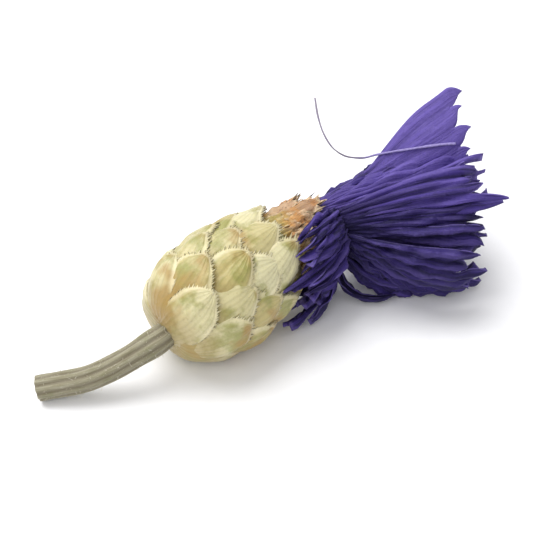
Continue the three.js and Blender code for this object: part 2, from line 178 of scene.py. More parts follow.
def node(tree, kind, inputs=None, **settings):
    """Adds a node to a tree. An input takes a value or another node's socket."""
    made = tree.nodes.new(kind)
    for key, value in settings.items():
        setattr(made, key, value)
    for key, value in (inputs or {}).items():
        if isinstance(value, bpy.types.NodeSocket):
            tree.links.new(value, made.inputs[key])
        else:
            made.inputs[key].default_value = value
    return made


def add(tree, kind, inputs=None, output=0, **settings):
    """Adds a node and gives one of its outputs, the first unless another is named."""
    return node(tree, kind, inputs, **settings).outputs[output]


def calc(operation, *values):
    """The result of a Math node, in the tree of the sockets among its values."""
    tree = next(value.id_data for value in values if isinstance(value, bpy.types.NodeSocket))
    return add(tree, "ShaderNodeMath", dict(enumerate(values)), operation=operation)


plus, minus, times, times_plus, over = (
    partial(calc, operation)
    for operation in ("ADD", "SUBTRACT", "MULTIPLY", "MULTIPLY_ADD", "DIVIDE")
)


def fit(value, low, high, to_high=1.0, to_low=0.0):
    """A value mapped from one range to another, smoothly and without leaving it."""
    inputs = {0: value, 1: low, 2: high, 3: to_low, 4: to_high}
    return add(value.id_data, "ShaderNodeMapRange", inputs, interpolation_type="SMOOTHSTEP")


def noise(vector, scale, detail=4.0):
    """Noise from 0 to 1 over a vector."""
    inputs = {"Vector": vector, "Scale": scale, "Detail": detail, "Roughness": 0.6}
    return add(vector.id_data, "ShaderNodeTexNoise", inputs)


def stretched(vector, *scale):
    """A vector scaled along each of its axes."""
    inputs = {0: vector, 1: scale}
    return add(vector.id_data, "ShaderNodeVectorMath", inputs, operation="MULTIPLY")


def own_uv(tree):
    """The places of a piece's own uv map."""
    return add(tree, "ShaderNodeUVMap", uv_map="UVMap")


def in_solid(tree):
    """The places of the piece itself."""
    return add(tree, "ShaderNodeTexCoord", output="Object")


def carried(tree, name):
    """A number that the points of a piece carry."""
    return add(tree, "ShaderNodeAttribute", output="Fac", attribute_name=name)


def finish_of(name, roughness, **sockets):
    """A new material and its tree, with uniform values on its shader's own sockets."""
    made = bpy.data.materials.new(name)
    made.use_nodes = True
    shader = made.node_tree.nodes["Principled BSDF"].inputs
    for key, value in {"Roughness": roughness, **sockets}.items():
        shader[key.replace("_", " ")].default_value = value
    return made, made.node_tree


def surfaced(made, height, depth, ground, *washes):
    """Gives a material a relief of some depth in millimetres, and its ground colour under washes.

    A wash is the factor that it covers by and its colour."""
    tree = made.node_tree
    tint = colour(*ground)
    for factor, wash in washes:
        inputs = {0: factor, 6: tint, 7: colour(*wash)}
        tint = add(tree, "ShaderNodeMix", inputs, output=2, data_type="RGBA")
    relief = add(tree, "ShaderNodeBump", {"Height": height, "Distance": depth * MM})
    shader = tree.nodes["Principled BSDF"].inputs
    tree.links.new(tint, shader["Base Color"])
    tree.links.new(relief, shader["Normal"])
    return made


def dry_stem():
    """Grey-green stem, streaked along its ribs, with painted shade, darker and browner, in the
    grooves.
    """
    made, tree = finish_of("dry_stem", 0.72, Sheen_Weight=0.15)
    streaks = noise(stretched(own_uv(tree), 60, 7, 1), 1.0)
    blotches = noise(in_solid(tree), 900.0)
    return surfaced(
        made, streaks, 0.05, (126, 120, 92),
        (fit(streaks, 0.3, 0.7), (156, 151, 129)),
        (fit(blotches, 0.5, 0.75, 0.55), (122, 122, 84)),
        # painted shade in the grooves between the ribs
        (times(carried(tree, "groove"), 0.6), (92, 80, 60)),
    )


def make_stalk():
    """The ribbed stub: rings along its path, and a shallow hollow at the cut end."""
    hidden = [in_head(0, 0, STALK_TOP), in_head(0, 0, -1)]
    path = path_through([*hidden, STALK_BEND, STALK_END], STALK_STEPS)
    lengths = np.concatenate([[0], np.cumsum(norm(np.diff(path, axis=0), axis=1))])
    turn = once_round(STALK_SIDES)
    points, uv, grooves = [], [], []

    def ring(middle, across, share, length):
        groove = (0.5 - 0.5 * np.cos(STALK_RIBS * turn + 0.1 * length)) ** 1.5
        crease = 0.5 + 0.5 * np.sin(3 * turn + 1.3 * length) * np.sin(0.9 * length + turn)
        radius = STALK_RADIUS * share * (1 - RIB_DEPTH * groove - CREASE_DEPTH * crease)
        points.extend(ring_round(middle, across, turn, radius))
        uv.extend(np.stack([turn / tau, np.full_like(turn, length / 10)], 1))
        grooves.extend(groove if share > 0.9 else 0 * groove)

    for middle, toward, length in zip(path, np.gradient(path, axis=0), lengths):
        swollen = 1 + SWELLING * exp(-(((length - SWELLING_AT) / SWELLING_REACH) ** 2))
        ring(middle, axes_along(toward), swollen, length)
    across = axes_along(path[-1] - path[-2])
    for back, share in CUT_RINGS:
        ring(path[-1] - back * across.axis, across, share, lengths[-1] + 1 - share)
    points = np.array(points)
    points[:, 2] = np.maximum(points[:, 2], STALK_LOWEST)
    # A known fault: these faces point inwards, and those of the thread do too.
    inward = [face[::-1] for face in tube_faces(len(points) // STALK_SIDES, STALK_SIDES)]
    return piece("stalk_stub", points, inward, dry_stem(), uv, groove=grooves)


stalk = make_stalk()
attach(stalk, "root")
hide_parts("stalk")


# The down on the stalk: short, loose, cottony hairs, each curved over and thinner towards its
# tip, scattered at random. The stub's faces point inwards, so most of them are hidden in it,
# and only those that lean most stand out.
HAIR_LOWEST = 0.02
HAIR_LEAN = 0.9
# One hair for a length of 1: its foot, the point that it bends towards and its tip.
HAIR_CURVE = {"Start": (0, 0, -0.05), "Middle": (0, 0, 0.7), "End": (0.8, 0, 0.75)}


def geometry_tree(name, **inputs):
    """A new Geometry Nodes tree, with a mesh and the named values of each kind as its inputs."""
    tree = bpy.data.node_groups.new(name, "GeometryNodeTree")
    for way in ("INPUT", "OUTPUT"):
        tree.interface.new_socket("Geometry", in_out=way, socket_type="NodeSocketGeometry")
    for kind, titles in inputs.items():
        for title in titles.split():
            tree.interface.new_socket(title, in_out="INPUT", socket_type=f"NodeSocket{kind}")
    return tree, tree.nodes.new("NodeGroupInput").outputs


def end_tree(geometry, material):
    """Ends a tree in real meshes that carry a material."""
    tree = geometry.id_data
    realized = add(tree, "GeometryNodeRealizeInstances", {0: geometry})
    inputs = {"Geometry": realized, "Material": material}
    node(tree, "NodeGroupOutput", {0: add(tree, "GeometryNodeSetMaterial", inputs)})
    return tree


def grown(made, tree, **values):
    """Runs a tree on a piece, with 0 for any value not given, and keeps the plain mesh it makes."""
    modifier = made.modifiers.new(tree.name, "NODES")
    modifier.node_group = tree
    for key, value in values.items():
        modifier[tree.interface.items_tree[key].identifier] = value
    graph = bpy.context.evaluated_depsgraph_get()
    mesh = bpy.data.meshes.new_from_object(made.evaluated_get(graph), depsgraph=graph)
    made.modifiers.clear()
    made.data = mesh
    mesh.shade_smooth()


def chance(seed, low=0.0, high=1.0):
    """A random value for each thing that a tree makes."""
    inputs = {2: low, 3: high, "Seed": seed}
    return add(seed.id_data, "FunctionNodeRandomValue", inputs, output=1)


def spun(rotation, by):
    """A rotation that is turned further about its own axes."""
    inputs = {"Rotation": rotation, "Rotate By": by}
    return add(rotation.id_data, "FunctionNodeRotateRotation", inputs, rotation_space="LOCAL")


def set_out(points, thing, **given):
    """A copy of a thing at each of some points, turned and sized as given."""
    inputs = {"Points": points, "Instance": thing, **given}
    return add(points.id_data, "GeometryNodeInstanceOnPoints", inputs)


def down_tree(material):
    """Grows curved, tapering hairs from a skin."""
    tree, given = geometry_tree("down", Float="Density Length Thickness", Int="Seed")
    seed = given["Seed"]
    inputs = {"Mesh": given["Geometry"], "Density": given["Density"], "Seed": seed}
    scattered = node(tree, "GeometryNodeDistributePointsOnFaces", inputs).outputs
    hair = add(tree, "GeometryNodeCurveQuadraticBezier", {"Resolution": 5, **HAIR_CURVE})
    along = add(tree, "GeometryNodeSplineParameter", output="Factor")
    taper = minus(1.0, times(along, 0.85))
    hair = add(tree, "GeometryNodeSetCurveRadius", {"Curve": hair, "Radius": taper})
    inputs = {"Resolution": 3, "Radius": over(given["Thickness"], given["Length"])}
    section = add(tree, "GeometryNodeCurvePrimitiveCircle", inputs)
    hair = add(tree, "GeometryNodeCurveToMesh", {"Curve": hair, "Profile Curve": section})
    inputs = {0: (-HAIR_LEAN, -HAIR_LEAN, 0), 1: (HAIR_LEAN, HAIR_LEAN, tau), "Seed": seed}
    lean = add(tree, "FunctionNodeRandomValue", inputs, data_type="FLOAT_VECTOR")
    leaning = spun(scattered["Rotation"], lean)
    length = times(chance(seed, 0.4), given["Length"])
    hairs = set_out(scattered["Points"], hair, Rotation=leaning, Scale=length)
    return end_tree(hairs, material)


def cotton():
    """Off-white cottony hair, slightly darker in patches."""
    made, tree = finish_of("cotton_down", 0.8, Sheen_Weight=0.3)
    patches = noise(in_solid(tree), 1500.0)
    return surfaced(made, patches, 0.004, (188, 180, 150), (patches, (238, 234, 220)))


stalk_down = placed("stalk_down", stalk.data.copy())
grown(
    stalk_down, down_tree(cotton()), Density=22e6, Length=0.5 * MM, Thickness=0.011 * MM, Seed=4
)
for vertex in stalk_down.data.vertices:
    vertex.co.z = max(vertex.co.z, HAIR_LOWEST * MM)
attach(stalk_down, "root")


# The involucre: an egg-shaped cup of dry bracts that overlap like roof tiles, each a thin,
# cupped, straw-green blade with veins along it and a paler, fringed, papery margin. They grow
# in a spiral on the cup, their tips lifting a little off the next ones.
CUP_LENGTH = 9.3
CUP_WIDEST = 4.3
CUP_RADIUS = 3.66
CUP_SIDES = 48
CUP_ROWS = 22
BASE_RADIUS = 1.5
MOUTH_RADIUS = 2.75
BRACTS = 34
BRACT_THICKNESS = 0.11
BRACT_WIDEST = 0.35
BRACT_LOWEST = 0.14
GOLDEN_TURN = pi * (3 - sqrt(5))
PROFILE_SPAN = 16.0
PROFILE_WIDTH = 6.0
HEAD_PLACE = Matrix.Translation(HEAD_BASE * MM) @ Matrix(
    np.stack([HEAD.side, HEAD.top, HEAD.axis], axis=1).tolist()
).to_4x4()


def cup_radius(along):
    """The radius of the cup's body at a distance along the head."""
    if along < CUP_WIDEST:
        below = (CUP_WIDEST - max(along, 0)) / CUP_WIDEST
        return BASE_RADIUS + (CUP_RADIUS - BASE_RADIUS) * sqrt(1 - below**2.4)
    above = min(1, (along - CUP_WIDEST) / (CUP_LENGTH - CUP_WIDEST))
    return CUP_RADIUS - (CUP_RADIUS - MOUTH_RADIUS) * above**1.7


def smooth(x, low, high):
    """A smooth step from 0 to 1 between low and high."""
    share = np.clip((x - low) / (high - low), 0, 1)
    return share * share * (3 - 2 * share)


def bract_blade(name, half_width, crown, fringe_from, fringe, columns, rows=34):
    """One flat blade, 1 mm long and 1 mm each side of its middle, with teeth along its margin."""
    across = np.linspace(-1, 1, columns)
    points, uv, margin = [], [], []
    for v in np.linspace(0, 1, rows):
        rise = crown * (1 - across**2) * half_width(v) + 0.06 * crown * np.cos(10 * across)
        level = np.full(columns, v)
        points.extend(np.stack([across * half_width(v), level, rise], 1))
        uv.extend(np.stack([0.5 + 0.5 * across, level], 1))
        sides = smooth(np.abs(across), 0.6, 1) * smooth(v, 0.12, 0.5)
        margin.extend(np.maximum(sides, smooth(v, 0.86, 1)))
    faces = net_faces(rows, columns)
    for row in range(int(fringe_from * rows), rows - 1):
        for side, low in ((-1, row * columns), (1, row * columns + columns - 1)):
            high = low + columns
            reach = fringe * (0.65 + 0.35 * sin(2.7 * row + side))
            corners = (low, len(points), high)
            faces.append(corners[::-1] if side < 0 else corners)
            points.append((points[low] + points[high]) / 2 + [side * reach, 1.4 * reach, 0.02])
            uv.append(np.array([0.5 + 0.5 * side, row / rows]))
            margin.append(1.0)
    return piece(name, points, faces, None, uv, margin=margin)


def stored(things, name, value):
    """Things that a tree repeats, each with a value of its own that it carries."""
    inputs = {"Geometry": things, "Name": name, "Value": value}
    return add(things.id_data, "GeometryNodeStoreNamedAttribute", inputs, domain="INSTANCE")


def split(vector):
    """The x, y and z of a vector."""
    return node(vector.id_data, "ShaderNodeSeparateXYZ", {0: vector}).outputs


def wrapping_tree(name, profile, material):
    """Repeats a flat blade round the head's axis and bends each one onto a turned profile.

    The profile is the radius at places along the axis. Blades are skewed, lifted and crumpled
    at random, and on the side that faces Open they are shorter by Slant and pushed out. Root
    and Hinge are the lift's share at the foot and how far along the blade it grows from."""
    floats = "Turn Scatter First Last Ease Short Long Width Root Hinge Lift Spread Push Slant Open"
    tree, given = geometry_tree(name, Int="Count Seed", Float=f"{floats} Skew Crumple Crease")

    def own_chance(number, *ends):
        return chance(plus(given["Seed"], number), *ends)

    def between(share, low, high):
        return times_plus(share, minus(high, low), low)

    index = add(tree, "GeometryNodeInputIndex")
    rise = over(index, minus(given["Count"], 1.0))
    angle = times_plus(own_chance(1, -0.5, 0.5), given["Scatter"], times(index, given["Turn"]))
    facing = calc("COSINE", minus(angle, given["Open"]))
    length = times(between(rise, given["Short"], given["Long"]), own_chance(2, 0.9, 1.06))
    lift = times_plus(own_chance(3), given["Spread"], given["Lift"])
    own = {
        "angle": angle,
        "start": between(calc("POWER", rise, given["Ease"]), given["First"], given["Last"]),
        "length": minus(length, times(given["Slant"], plus(facing, 1.0))),
        "lift": plus(lift, times(given["Push"], calc("MAXIMUM", facing, 0.0))),
        "skew": times(own_chance(4, -1.0), given["Skew"]),
        "tone": own_chance(5),
    }
    points = add(tree, "GeometryNodePoints", {"Count": given["Count"]})
    blades = set_out(points, given["Geometry"])
    for key, value in own.items():
        blades = stored(blades, key, value)
    blades = add(tree, "GeometryNodeRealizeInstances", {0: blades})
    mine = {key: add(tree, "GeometryNodeInputNamedAttribute", {"Name": key}) for key in own}
    flat = add(tree, "GeometryNodeInputPosition")
    x, y, z = split(flat)
    along = times_plus(y, mine["length"], mine["start"])
    share = over(y, MM)
    curve = node(tree, "ShaderNodeFloatCurve", {"Value": over(along, PROFILE_SPAN * MM)})
    line = curve.mapping.curves[0].points
    for place, (at, radius) in enumerate(profile):
        at, radius = at / PROFILE_SPAN, radius / PROFILE_WIDTH
        if place < 2:
            line[place].location = (at, radius)
        else:
            line.new(at, radius)
    curve.mapping.update()
    lifted = times(mine["lift"], fit(share, given["Hinge"], 1.0, 1.0, given["Root"]))
    radius = times_plus(curve.outputs[0], PROFILE_WIDTH * MM, lifted)
    finer = stretched(flat, 2200, 1900, 0)
    inputs = {"W": times(mine["tone"], 50.0), "Vector": finer, "Scale": given["Crease"]}
    crumpled = add(tree, "ShaderNodeTexNoise", inputs, noise_dimensions="4D")
    crumpled = times(times(minus(crumpled, 0.5), given["Crumple"]), fit(share, 0.0, 0.4))
    radius = plus(plus(radius, z), crumpled)
    leaning = times(times(y, mine["length"]), mine["skew"])
    turn = over(plus(times(x, given["Width"]), leaning), radius)
    turn = plus(mine["angle"], turn)
    x, y = times(radius, calc("COSINE", turn)), times(radius, calc("SINE", turn))
    bent = add(tree, "ShaderNodeCombineXYZ", {0: x, 1: y, 2: along})
    inputs = {"Geometry": blades, "Position": bent}
    return end_tree(add(tree, "GeometryNodeSetPosition", inputs), material)


def dry_bract():
    """Straw-green blade with fine veins, a cream margin and browner, drier patches and tips, and
    with painted shade towards its foot.
    """
    depths = (0.6 * MM, 0.45 * MM, 0.2 * MM)
    made, tree = finish_of(
        "dry_bract", 0.42, Sheen_Weight=0.1, Subsurface_Weight=0.08, Subsurface_Radius=depths
    )
    u, v, _ = split(own_uv(tree))
    solid = in_solid(tree)
    patches = noise(solid, 420.0, 5.0)
    stains = noise(solid, 260.0, 3.0)
    grain = noise(solid, 5200.0, 3.0)
    veins = fit(calc("SINE", times_plus(patches, 9.0, times(u, 54.0))), -0.4, 1.0)
    browned = times(fit(v, 0.72, 0.98), fit(patches, 0.45, 0.7))
    return surfaced(
        made, times_plus(veins, 0.35, times(grain, 0.6)), 0.035, (172, 156, 90),
        (carried(tree, "tone"), (208, 202, 162)),
        (fit(patches, 0.44, 0.6, 0.85), (140, 140, 70)),
        (fit(stains, 0.5, 0.62, 0.75), (160, 126, 64)),
        # painted shade, darker and browner towards the foot of each bract, under the bracts that
        # overlap it
        (fit(v, 0.15, 0.5, 0.0, 0.5), (150, 122, 66)),
        (times(veins, 0.13), (120, 108, 58)),
        (times(browned, 0.7), (176, 128, 74)),
        (fit(carried(tree, "margin"), 0.3, 0.9, 0.6), (226, 216, 176)),
        (fit(grain, 0.5, 0.8, 0.35), (140, 120, 70)),
    )


def make_cup(material):
    """The body that the bracts grow on, with the mouth where the florets come out."""
    places = np.linspace(0, 1, CUP_ROWS) ** 1.5 * CUP_LENGTH
    profile = [(0.3, 0.02), *((cup_radius(along) - 0.05, along) for along in places)]
    profile += [(MOUTH_RADIUS - 0.35, CUP_LENGTH - 0.05), (MOUTH_RADIUS - 0.5, CUP_LENGTH - 1.6)]
    rows = len(profile)
    turn = once_round(CUP_SIDES)
    points = np.concatenate([in_head(radius, turn, along) for radius, along in profile])
    uv = np.stack([np.tile(turn, rows) / 2, np.repeat(np.arange(rows), CUP_SIDES) / 30], 1)
    faces = net_faces(rows, CUP_SIDES, round_about=True)
    dim = np.zeros(len(points))
    return piece("involucre_cup", points, faces, material, uv, margin=dim, tone=dim)


def bract_width(v):
    """Half the width of an involucral bract, ovate with a blunt point."""
    if v < BRACT_WIDEST:
        return 0.7 + 0.3 * sin(0.5 * pi * v / BRACT_WIDEST)
    beyond = (v - BRACT_WIDEST) / (1 - BRACT_WIDEST)
    return max(0.05, cos(0.5 * pi * beyond**1.45))


BRACT_SKIN = dry_bract()
cup = make_cup(BRACT_SKIN)
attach(cup, "root")
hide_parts("involucre")

bracts = bract_blade(
    "involucre_bracts", bract_width, crown=0.24, fringe_from=0.3, fringe=0.07, columns=15
)
cup_profile = [(at, cup_radius(at)) for at in (0, 0.3, 0.9, 1.8, 2.9, 4.3, 6, 7.4, 8.6, 9.3)]
cup_profile += [(10.2, MOUTH_RADIUS - 0.2), (11.5, MOUTH_RADIUS - 0.5)]
grown(
    bracts,
    wrapping_tree("cup_of_bracts", cup_profile, BRACT_SKIN),
    Count=BRACTS, Turn=GOLDEN_TURN, Scatter=0.26, Seed=5,
    First=-0.8 * MM, Last=(CUP_LENGTH - 3.9) * MM, Ease=0.85,
    Short=3.3, Long=5.0, Width=1.66,
    Root=-0.9, Hinge=-0.25, Lift=0.26 * MM, Spread=0.22 * MM,
    Skew=0.26, Crumple=0.5 * MM, Crease=1.0,
)
bracts.data.transform(HEAD_PLACE)


def pressed(height, low):
    """A height, eased off so that what would go under the surface lies flat just over it."""
    return np.where(height > 2 * low, height, low + low * np.exp((height - 2 * low) / low))


for vertex in bracts.data.vertices:
    vertex.co.z = pressed(vertex.co.z, BRACT_LOWEST * MM)


def thickened(made, thickness, offset=-1):
    """Gives a sheet its thickness, on its inner side unless the offset says otherwise."""
    solid = made.modifiers.new("thickness", "SOLIDIFY")
    solid.thickness = thickness * MM
    solid.offset = offset


thickened(bracts, BRACT_THICKNESS)
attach(bracts, "root")
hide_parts("involucre")


# The inner bracts: the innermost row of the involucre, longer and papery, tan and orange. They
# stand out of its mouth as a torn, toothed collar round the necks of the florets, and are
# pushed apart on the side that the florets fall over.
COLLAR_BRACTS = 23
COLLAR_THICKNESS = 0.07
COLLAR_START = 7.6
COLLAR_OPEN = radians(232)
# The collar's radius at places along the head.
COLLAR_PROFILE = [
    (0, 2.0), (7, 2.2), (9.4, 2.15), (10.8, 1.9), (12.2, 1.6), (13.4, 1.5), (16, 1.5),
]


def papery():
    """Thin tan paper, orange where it is thick and cream at its torn edges, finely veined."""
    depths = (0.7 * MM, 0.4 * MM, 0.2 * MM)
    made, tree = finish_of(
        "papery_bract", 0.55, Subsurface_Weight=0.15, Subsurface_Radius=depths
    )
    place = own_uv(tree)
    v = split(place)[1]
    patches = noise(in_solid(tree), 900.0)
    fibres = noise(stretched(place, 40, 4, 1), 1.0, 5.0)
    return surfaced(
        made, fibres, 0.06, (148, 108, 70),
        (carried(tree, "tone"), (216, 188, 150)),
        (fit(patches, 0.48, 0.6, 0.8), (194, 134, 58)),
        (fit(fibres, 0.52, 0.66, 0.75), (92, 54, 42)),
        (fit(v, 0.6, 0.95, 0.3), (190, 146, 122)),
        (fit(v, 0.4, 0.66, 0.0, 0.7), (176, 162, 84)),
        (fit(carried(tree, "margin"), 0.5, 0.98, 0.7), (226, 204, 170)),
    )


def torn_width(v):
    """Half the width of an inner bract: a strap that widens, tears and ends in ragged points."""
    strap = 0.86 + 0.2 * smooth(v, 0.4, 0.72)
    return max(0.05, strap * (1 - smooth(v, 0.8, 1.04)) ** 0.6 * (1 + 0.16 * sin(40 * v)))


collar = bract_blade(
    "inner_bract_collar", torn_width, crown=0.2, fringe_from=0.7, fringe=0.1, columns=17
)
grown(
    collar,
    wrapping_tree("collar_of_bracts", COLLAR_PROFILE, papery()),
    Count=COLLAR_BRACTS, Turn=tau * 9 / COLLAR_BRACTS, Scatter=0.25, Seed=21,
    First=(COLLAR_START - 0.6) * MM, Last=COLLAR_START * MM, Ease=1.0,
    Short=5.0, Long=6.6, Width=0.62,
    Hinge=0.3, Lift=-0.2 * MM, Spread=0.75 * MM,
    Push=0.1 * MM, Slant=0.9, Open=COLLAR_OPEN,
    Skew=0.14, Crumple=1.1 * MM, Crease=2.4,
)
collar.data.transform(HEAD_PLACE)
thickened(collar, COLLAR_THICKNESS)
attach(collar, "root")
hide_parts("inner_bracts")


# The disc florets: the small fertile florets in the middle, each a thin tube that opens into
# five narrow lobes round a dark purple tube of anthers, with the pale forked style coming out
# of it. They stand close together in a spiral and show from the end of the brush.
NECK = 13.3
BRUSH_TILT = -2
BRUSH_YAW = -8
BRUSH = axes_along(heading(BRUSH_TILT, BRUSH_YAW))
NECK_POINT = in_head(0, 0, NECK)
DISCS = 22
DISC_REACH = 7.5
DISC_SPREAD = 9
DISC_ROOT = 0.6
DISC_LOBES = 5
# The rings of a floret 1 mm long: the height, radius and offset of each.
DISC_TUBE = [
    (0, 0.02, 0), (0.3, 0.022, 0), (0.6, 0.03, 0.01), (0.74, 0.048, 0.015), (0.8, 0.055, 0.015),
]
DISC_ANTHERS = [
    (0.72, 0.018, 0.015), (0.8, 0.024, 0.016), (0.92, 0.024, 0.02), (0.97, 0.016, 0.024),
]
DISC_STYLE = [
    (0.95, 0.007, 0.023), (0.99, 0.007, 0.03), (1.02, 0.012, 0.036), (1.04, 0.004, 0.042),
]


def draw(i, channel):
    """A repeatable draw from 0 to 1 for piece number i, the same as the solids were made with."""
    return (sin(i * 12.9898 + channel * 78.233) * 43758.5453) % 1


def brush_point(reach, spread, angle):
    """A point of the brush by its reach beyond the neck, its spread in degrees and its angle."""
    opened = radians(spread)
    return (
        NECK_POINT
        + reach * cos(opened) * BRUSH.axis
        + reach * sin(opened) * (cos(angle) * BRUSH.side + sin(angle) * BRUSH.top)
    )


def disc_floret_mesh():
    """One disc floret, 1 mm long along +Z before it is scaled: tube, lobes, anthers and style."""
    points, faces, uv, kind = [], [], [], []

    def stack(rings, sides, part):
        first = len(points)
        turn = once_round(sides)
        for z, radius, offset in rings:
            x, y = radius * np.cos(turn) + offset, radius * np.sin(turn)
            points.extend(np.stack([x, y, 0 * turn + z], 1))
            uv.extend(np.stack([turn / tau, 0 * turn + z], 1))
            kind.extend([part] * sides)
        faces.extend(tube_faces(len(rings), sides, first))

    stack(DISC_TUBE, 10, 0.0)
    for lobe in range(DISC_LOBES):
        first = len(points)
        turn = tau * (lobe + 0.5) / DISC_LOBES
        out = np.array([cos(turn), sin(turn)])
        over_side = np.array([-out[1], out[0]])
        for share in np.linspace(0, 1, 6):
            reach = 0.05 + 0.09 * share**1.3
            width = 0.026 * (1 - share**2) + 0.002
            z = 0.79 + 0.15 * share - 0.04 * share**2
            for side in (-1, 0, 1):
                x, y = out * (reach - 0.008 * side * side) + over_side * width * side
                points.append(np.array([x + 0.015, y, z]))
                uv.append(np.array([0.5 + 0.5 * side, 0.6 + 0.4 * share]))
                kind.append(0.0)
        faces.extend(net_faces(6, 3, first))
    stack(DISC_ANTHERS, 10, 1.0)
    stack(DISC_STYLE, 6, 2.0)
    return piece("disc_floret_spiral", points, faces, None, uv, kind=kind)


def disc_finish():
    """Violet tubes and lobes, blackish-purple anthers and pale lilac styles."""
    made, tree = finish_of("disc_floret", 0.6, Sheen_Weight=0.2)
    kind = carried(tree, "kind")
    mottle = noise(in_solid(tree), 2500.0)
    return surfaced(
        made, mottle, 0.03, (176, 150, 170),
        (fit(split(own_uv(tree))[1], 0.2, 0.75), (74, 44, 116)),
        (fit(mottle, 0.4, 0.7, 0.5), (44, 26, 76)),
        (times(carried(tree, "tone"), 0.3), (112, 82, 160)),
        (fit(kind, 0.4, 0.6), (46, 18, 58)),
        (fit(kind, 1.4, 1.6), (206, 182, 214)),
    )


def planting_tree(name, material):
    """Plants a copy of a piece at each point of another mesh, along its direction and length."""
    tree, given = geometry_tree(name, Object="Places", Int="Seed")
    seed = given["Seed"]
    points = add(tree, "GeometryNodeObjectInfo", {"Object": given["Places"]}, "Geometry")
    direction = add(
        tree, "GeometryNodeInputNamedAttribute", {"Name": "direction"}, data_type="FLOAT_VECTOR"
    )
    size = add(tree, "ShaderNodeVectorMath", {0: direction}, "Value", operation="LENGTH")
    upward = add(tree, "FunctionNodeAlignRotationToVector", {"Vector": direction}, axis="Z")
    spin = add(tree, "ShaderNodeCombineXYZ", {2: chance(seed, 0.0, tau)})
    spun_up, scale = spun(upward, spin), over(size, MM)
    planted = set_out(points, given["Geometry"], Rotation=spun_up, Scale=scale)
    return end_tree(stored(planted, "tone", chance(seed)), material)


def disc_places():
    """Where the disc florets leave the throat, and the direction and length of each."""
    starts, directions = [], []
    for i in range(DISCS):
        angle = i * GOLDEN_TURN
        out = sqrt((i + 0.5) / DISCS)
        reach = DISC_REACH * (0.85 + 0.3 * draw(i, 11)) + DISC_ROOT
        start = in_head(0.55 * out, angle, NECK - DISC_ROOT)
        starts.append(start)
        directions.append((brush_point(reach, DISC_SPREAD * out, angle) - start) * MM)
    made = piece("disc_places", starts, [])
    layer = made.data.attributes.new("direction", "FLOAT_VECTOR", "POINT")
    layer.data.foreach_set("vector", np.array(directions).ravel())
    return made


places = disc_places()
discs = disc_floret_mesh()
grown(discs, planting_tree("planting", disc_finish()), Places=places, Seed=5)
bpy.data.objects.remove(places)
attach(discs, "root")
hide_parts("disc_florets")


# The ray florets: the outer, sterile florets, each one papery sheet that is rolled into a thin
# tube at its foot, opens like a trumpet and is cut into long pointed lobes. Dry, they are
# pleated, creased and curled, and together they make the blue-violet brush.
BLADE = 0.09
RAYS = 15
RAY_REACH = 12.4
OUTER_SPREAD = 26
INNER_SPREAD = 17
UNDER_SPREAD = 13
UNDER_SAG = 38
UNDER_TURN = 0.6
BENEATH_BROAD = 12
# SHADED_RAY's tone is lowered by SHADED_BY: painted shade for the dark cleft between the upper and
# the lower florets.
SHADED_RAY = 7
SHADED_BY = 0.4
SLEEVE_OUTER = 1.35
ROOT_RADIUS = 1.05
ROOT_ALONG = 11.5
FLOOR_GAP = 0.08
TUBE_HALF_WIDTH = 0.42
TUBE_ARC = 0.92 * pi
INNER_RAYS = 16
INNER_LEAN = radians(185)
LOBE_CELLS = 5
THROAT_ROWS = 28
LOBE_ROWS = 12
LOBE_CURL_PLEAT = 0.15
TIP_LOWEST = 0.32
# The broad floret that stands out on top: its number, the bend and end of its line, and the
# shape of its sheet.
BROAD_RAY = 2
BROAD_BEND = (15.8, 3.0, 6.7)
BROAD_END = (21.3, 2.1, 10.9)
# Its tone of 1, the highest, is painted light on the floret that lies on top.
BROAD_SHEET = dict(
    widest=2.5, curl=radians(20), twist=radians(62), lobes=4, opening=0.46,
    sinus=0.94, ragged=0.05, pleat=0.045, tone=1.0, oblique=0.11,
)

Sheet = namedtuple(
    "Sheet",
    "line seed widest curl twist lobes opening sinus ragged pleat tone oblique through_brush",
    defaults=[0, True],
)


def floret_line(line, through_brush, v):
    """The place, outward, sideways and forward directions at each share of a floret's length."""
    a, b, c, d = np.array(line)
    t = v[:, None]
    place = (1 - t) ** 3 * a + 3 * (1 - t) ** 2 * t * b + 3 * (1 - t) * t * t * c + t**3 * d
    forward = 3 * (1 - t) ** 2 * (b - a) + 6 * (1 - t) * t * (c - b) + 3 * t * t * (d - c)
    forward /= norm(forward, axis=1)[:, None]
    past = (place - NECK_POINT) @ BRUSH.axis
    middle = in_head(0, 0, (place - HEAD_BASE) @ HEAD.axis)
    if through_brush:
        middle = np.where(past[:, None] > 0, NECK_POINT + past[:, None] * BRUSH.axis, middle)
    outward = place - middle
    outward -= np.sum(outward * forward, axis=1)[:, None] * forward
    outward /= norm(outward, axis=1)[:, None]
    return place, outward, np.cross(forward, outward), forward


def creases(seed, u, v, waves=5, finest=7.0):
    """Irregular creases over a sheet, mostly along it, from about -1 to 1."""
    dice = np.random.default_rng(seed)
    total = 0
    for wave in range(waves):
        across, along, phase = dice.uniform([1.5, 0.5, 0], [finest, 0.8 * finest, 6.3])
        total = total + np.sin(pi * (across * u + along * v) + phase) / (1 + 0.5 * wave)
    return total / 2.4


def half_width(sheet, v):
    """Half the width of a floret's sheet at a share of its length."""
    return TUBE_HALF_WIDTH + (sheet.widest - TUBE_HALF_WIDTH) * smooth(v, sheet.opening, 0.85)


